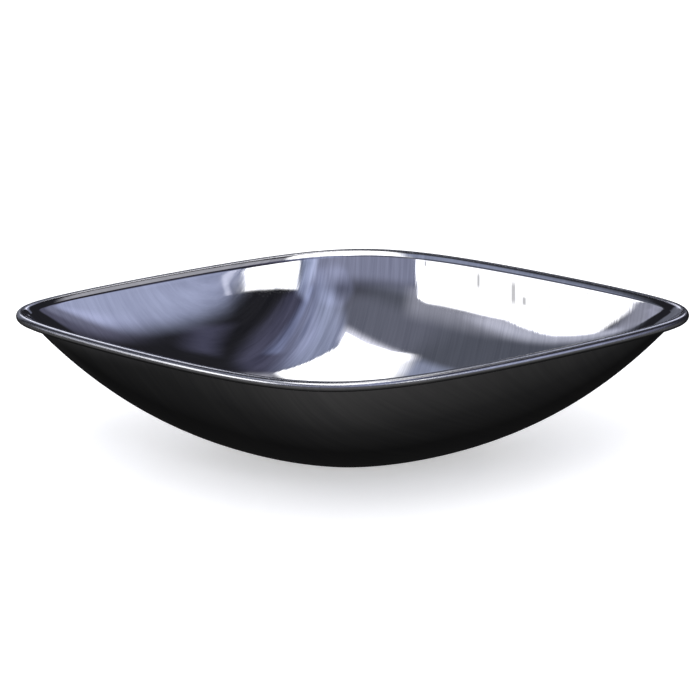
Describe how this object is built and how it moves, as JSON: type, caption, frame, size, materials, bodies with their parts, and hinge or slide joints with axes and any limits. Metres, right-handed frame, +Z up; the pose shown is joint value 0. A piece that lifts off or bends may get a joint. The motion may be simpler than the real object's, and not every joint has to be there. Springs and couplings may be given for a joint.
{
  "type": "kidney dish",
  "caption": "Boat-shaped pressed steel dish with two rounded tips, two convex long sides, a small flat base and a flared lip that ends in a rim rolled round a wire ring.",
  "frame": {"origin": "centre of the flat base's underside", "axes": "+Z up through the open mouth, X along the dish from tip to tip, Y across it"},
  "size_m": [0.3, 0.168, 0.067],
  "materials": {
    "polished_sheet": "stainless sheet, mechanically polished, with fine cross-wise polishing lines and faint arcs from the wheel",
    "wire_steel": "drawn stainless wire"
  },
  "bodies": {
    "root": {"dish_shell": "polished_sheet", "rim_wire": "wire_steel"}
  },
  "joints": []
}
